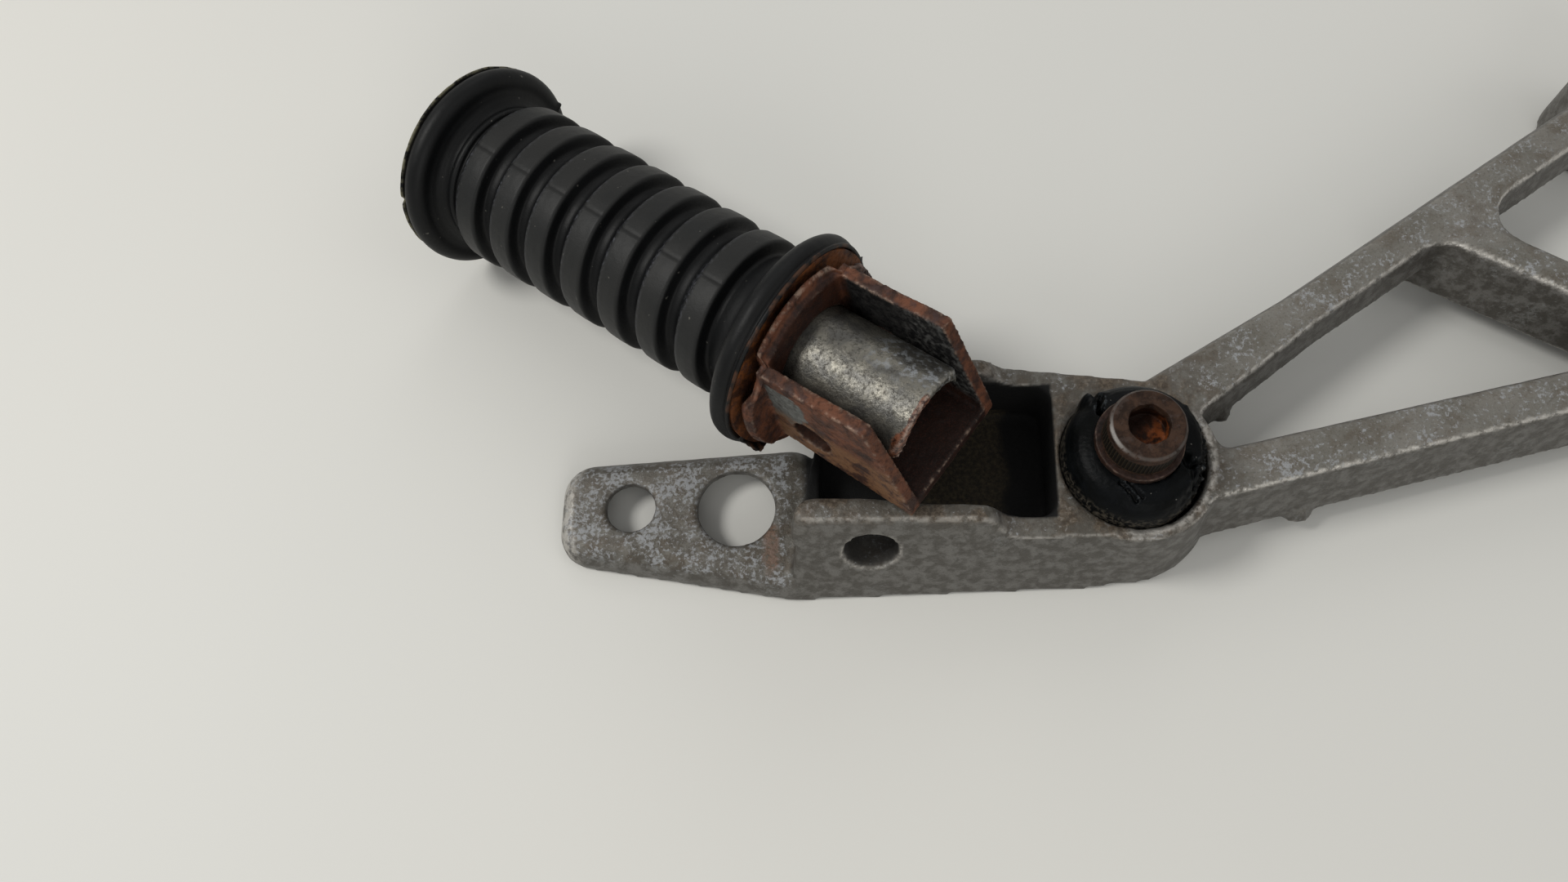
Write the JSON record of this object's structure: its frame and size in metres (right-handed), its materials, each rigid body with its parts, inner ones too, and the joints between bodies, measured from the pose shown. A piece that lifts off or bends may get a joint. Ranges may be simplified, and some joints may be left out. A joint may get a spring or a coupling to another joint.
{
  "type": "motorcycle footrest hanger",
  "caption": "Cast footrest hanger with drilled tab, clevis, rubber damper seat and truss arms, with a loose ribbed rubber footrest lying across the clevis.",
  "frame": {"origin": "on the back plane of the casting, under the middle of the clevis's pivot axis", "axes": "+X from the tab along the bracket to the frame bosses, +Y along the pivot axis away from the viewer, +Z out of the back plane"},
  "size_m": [0.2779, 0.1208, 0.057],
  "materials": {
    "casting": "weathered, blotchy grey",
    "damper_rubber": "torn, satin",
    "sleeve_steel": "dark rusted steel",
    "bolt_steel": "rusted steel",
    "grip_rubber": "satin",
    "washer_steel": "orange rust",
    "core_zinc": "zinc plated, rust specks",
    "yoke_steel": "brown rust"
  },
  "bodies": {
    "root": {"bracket_casting": "casting", "damper_rubber": "damper_rubber", "damper_sleeve": "sleeve_steel", "damper_bolt": "bolt_steel", "peg_rubber": "grip_rubber", "peg_washer": "washer_steel", "peg_core": "core_zinc", "peg_yoke": "yoke_steel"}
  },
  "joints": []
}
